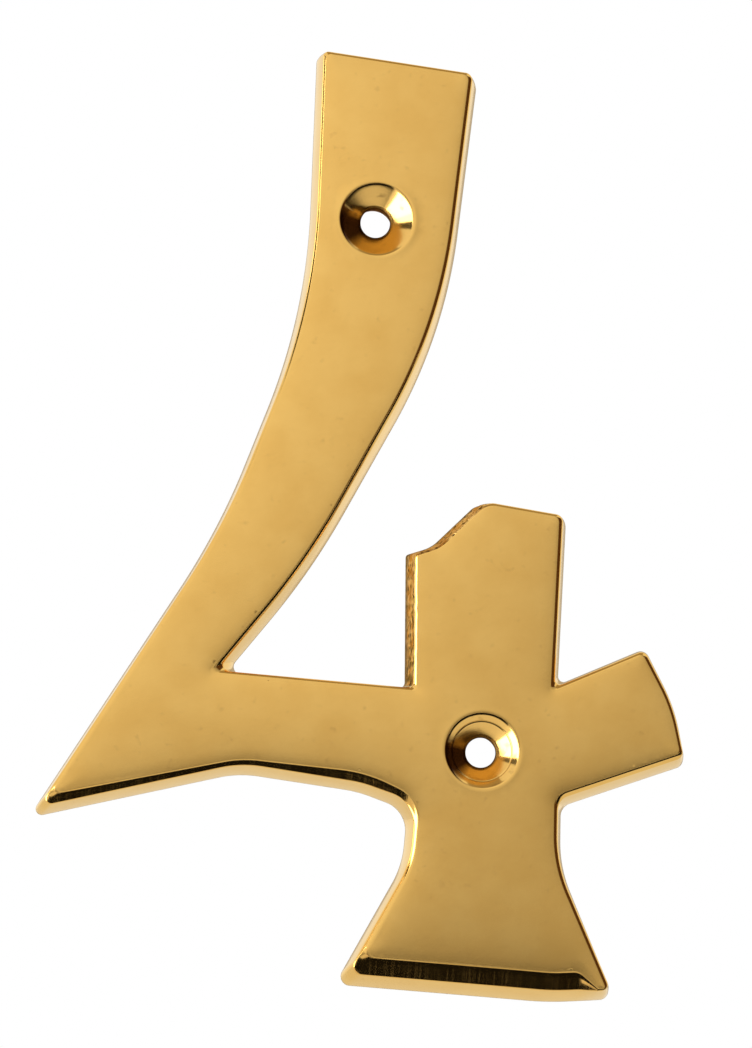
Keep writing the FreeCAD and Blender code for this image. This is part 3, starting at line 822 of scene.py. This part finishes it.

# As-cast skin on the stem and the broken corner: mottled tan, brown and black, never polished, with painted
# shade low down the wall and near the back
skin, tree, shader, place = new_finish("cast_skin", (0.85, 0.62, 0.36))
brown = effect(tree, tarnish, place, amount=0.47, grain=1.2)["Mask"]
up_the_wall = add_node(tree, "SeparateXYZ", {0: place}).outputs["Z"]
# Partly painted shade: besides the skin's own black spots, more black is painted low on the wall, darkest in
# the corner by the crossbar
black_and_corner_shade_amount = spread(tree, up_the_wall, -16.0, -8.0, 0.48, 0.35)
black = effect(tree, tarnish, place, amount=black_and_corner_shade_amount, grain=1.9)["Mask"]
pinholes = effect(tree, pores, place, pitch=0.46, size=0.19, share=0.85)["Mask"]
tone = blend(tree, brown, (0.84, 0.52, 0.17), (0.46, 0.19, 0.035))
tone = blend(tree, black, tone, (0.07, 0.035, 0.012))
# Painted shade: the skin is painted dark grey-brown within about a millimetre of the back, as shade along
# the wall's back edge
towards_back = add_node(tree, "SeparateXYZ", {0: place}).outputs["Y"]
painted_back_shade = spread(tree, towards_back, -1.3, -0.5, 0.0, 0.9)
tone = blend(tree, painted_back_shade, tone, (0.14, 0.10, 0.06))
tone = blend(tree, pinholes, tone, (0.02, 0.012, 0.006))
gloss = spread(tree, brown, 0.0, 1.0, 0.28, 0.45)
grit = combine(tree, "MULTIPLY", cloud(tree, place, 2.6, 4.0), 0.07)
grit = combine(tree, "ADD", grit, combine(tree, "MULTIPLY", pinholes, -0.06))
finish_with(tree, shader, tone, gloss, grit)

# Countersinks: bright cut metal with turning marks, dull brown where they meet the bore, and a painted dark
# reflection on the left side of each cone
cone, tree, shader, place = new_finish("countersink_cut")
turned_cone = effect(tree, turning, place)
stained = effect(tree, tarnish, place, amount=0.26, grain=1.1)["Mask"]
# Painted reflection: the left and lower side of each cone is painted nearly black, in place of the dark it
# would reflect
painted_left_reflection = spread(tree, turned_cone["Leftward"], 0.72, 0.94)
foot_ring = spread(tree, turned_cone["Radius"], bore_radius + 0.06, bore_radius + 0.20, 1.0, 0.0)
dull = combine(tree, "MAXIMUM", combine(tree, "MULTIPLY", stained, 0.6), foot_ring)
tone = blend(tree, dull, (0.84, 0.51, 0.14), (0.22, 0.11, 0.03))
tone = blend(tree, painted_left_reflection, tone, (0.07, 0.03, 0.015))
gloss = spread(tree, dull, 0.0, 1.0, 0.14, 0.4)
finish_with(tree, shader, tone, gloss, turned_cone["Height"])

# Bores: drilled, dull and brown
bore, tree, shader, place = new_finish("drilled_bore", (0.45, 0.30, 0.16))
stained = effect(tree, tarnish, place, amount=0.45, grain=2.4)["Mask"]
along_bore = add_node(tree, "VectorMath", {0: place, 1: (0.05, 1.0, 0.05)}, operation="MULTIPLY").outputs[0]
drilling = cloud(tree, along_bore, 9.0, 2.0)
tone = blend(tree, stained, (0.24, 0.12, 0.035), (0.08, 0.04, 0.015))
gloss = spread(tree, stained, 0.0, 1.0, 0.45, 0.65)
finish_with(tree, shader, tone, gloss, combine(tree, "MULTIPLY", drilling, 0.008))

# Back: ground flat on a belt, with long scratches and some stain
ground, tree, shader, place = new_finish("ground_back")
belt_place = add_node(tree, "VectorRotate", {"Vector": place, "Angle": math.radians(90.0)},
                 rotation_type="Y_AXIS").outputs[0]
marks = effect(tree, file_marks, belt_place, pitch=0.10, depth=0.006)
stained = effect(tree, tarnish, place, amount=0.38, grain=0.35)["Mask"]
tone = blend(tree, combine(tree, "MULTIPLY", marks["Streaks"], 0.35), (0.80, 0.52, 0.19), (0.62, 0.36, 0.11))
tone = blend(tree, combine(tree, "MULTIPLY", stained, 0.55), tone, (0.36, 0.20, 0.07))
gloss = spread(tree, stained, 0.0, 1.0, 0.30, 0.45)
finish_with(tree, shader, tone, gloss, marks["Height"])

for material in (brass, skin, ground, filed, cone, bore):
    number_mesh.materials.append(material)

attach(cast_number, "root")
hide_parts("door_number")

# ---------------------------------------------------------------- studio

studio = bpy.data.worlds.new("studio")
scene.world = studio
studio.use_nodes = True
nodes = studio.node_tree.nodes
nodes["Background"].inputs["Color"].default_value = (1, 1, 1, 1)
nodes["Background"].inputs["Strength"].default_value = 1.0


def shade_ramp(tree, value, steps):
    """A run of greys over a card."""
    shades = add_node(tree, "ValToRGB", {"Fac": value})
    while len(shades.color_ramp.elements) < len(steps):
        shades.color_ramp.elements.new(0.5)
    for element, (position, shade) in zip(shades.color_ramp.elements, steps):
        element.position = position
        element.color = (shade, shade, shade, 1)
    return shades.outputs["Color"]


def card(name, centre, width, height, facing, strength, ramp=None, across=None, tint=(1.0, 1.0, 1.0)):
    """A flat studio card that shows in the metal but not behind it."""
    mesh = bpy.data.meshes.new(name)
    w, h = width / 2, height / 2
    mesh.from_pydata([(-w, -h, 0), (w, -h, 0), (w, h, 0), (-w, h, 0)], [], [(0, 1, 2, 3)])
    mesh.uv_layers.new(name="card")
    obj = bpy.data.objects.new(name, mesh)
    obj.location = centre
    direction = Vector(facing) - Vector(centre)
    obj.rotation_mode = "QUATERNION"
    obj.rotation_quaternion = direction.to_track_quat("Z", "Y")
    material = bpy.data.materials.new(name)
    material.use_nodes = True
    nodes = material.node_tree.nodes
    links = material.node_tree.links
    nodes.remove(nodes["Principled BSDF"])
    glow = nodes.new("ShaderNodeEmission")
    glow.inputs["Strength"].default_value = strength
    glow.inputs["Color"].default_value = (*tint, 1.0)
    links.new(glow.outputs[0], nodes["Material Output"].inputs["Surface"])
    if ramp:
        split = add_node(material.node_tree, "SeparateXYZ", {})
        links.new(nodes.new("ShaderNodeTexCoord").outputs["Generated"], split.inputs[0])
        upwards = shade_ramp(material.node_tree, split.outputs["Y"], ramp)
        sideways = shade_ramp(material.node_tree, split.outputs["X"], across)
        links.new(combine(material.node_tree, "MULTIPLY", upwards, sideways), glow.inputs["Color"])
    mesh.materials.append(material)
    scene.collection.objects.link(obj)
    obj.visible_camera = False
    obj.visible_diffuse = False
    obj.visible_shadow = False
    return obj


# Front card behind the viewpoint: grey at the bottom, nearly white at the top
def card_share(degrees, distance=1.2, low=-0.5, high=1.1):
    return (math.tan(math.radians(degrees)) * distance - low) / (high - low)


card("front_card", (0.15, -1.2, 0.3), 1.5, 1.6, (0.15, 0, 0.3), 1.1,
     ramp=[(0.0, 0.0), (card_share(-9), 0.0), (card_share(0), 0.44), (card_share(4), 0.685),
           (card_share(6), 0.78),
           (card_share(10), 0.86), (card_share(15), 0.90), (1.0, 0.97)],
     across=[(0.309, 0.45), (0.43, 0.71), (0.502, 0.845), (0.539, 0.909), (0.572, 0.955), (0.60, 1.0)])
card("low_card", (0.42, -0.362, -0.115), 1.0, 0.6, (0.42, -0.362, 0.0), 0.010)
card("left_light", (-1.2, -0.4, 0.16), 1.0, 0.52, (0.0, 0.0, 0.16), 5.0)
card("left_low_light", (-0.125, -0.062, -0.048), 0.09, 0.134, (0.0, 0.0, -0.048), 7.0)
card("left_rear_light", (-1.128, 0.41, 0.22), 0.64, 0.45, (0.0, 0.0, 0.22), 3.0)
card("left_strip", (-0.985, -0.174, 0.375), 0.85, 0.28, (0.0, 0.0, 0.375), 0.02, tint=(1.0, 0.85, 0.35))
card("right_card", (0.928, -0.591, 0.15), 1.69, 1.4, (0.0, 0.0, 0.15), 0.10, tint=(1.0, 0.5, 0.2))
card("right_rear_card", (0.125, 1.193, 0.25), 0.554, 0.6, (0.0, 0.0, 0.25), 0.5, tint=(1.0, 0.9, 0.75))
card("top_card", (0.0, -0.44, 0.8), 0.8, 1.16, (0.0, -0.44, 0.0), 0.42, tint=(1.0, 0.85, 0.6))

floor_data = bpy.data.meshes.new("floor")
floor_data.from_pydata([(-3, -3, 0), (3, -3, 0), (3, 3, 0), (-3, 3, 0)], [], [(0, 1, 2, 3)])
floor = bpy.data.objects.new("floor", floor_data)
floor.location = (0, 0, -0.12)
floor_paint = bpy.data.materials.new("floor_paint")
floor_paint.use_nodes = True
floor_paint.node_tree.nodes["Principled BSDF"].inputs["Base Color"].default_value = (0.85, 0.85, 0.85, 1)
floor_paint.node_tree.nodes["Principled BSDF"].inputs["Roughness"].default_value = 0.7
floor_data.materials.append(floor_paint)
scene.collection.objects.link(floor)
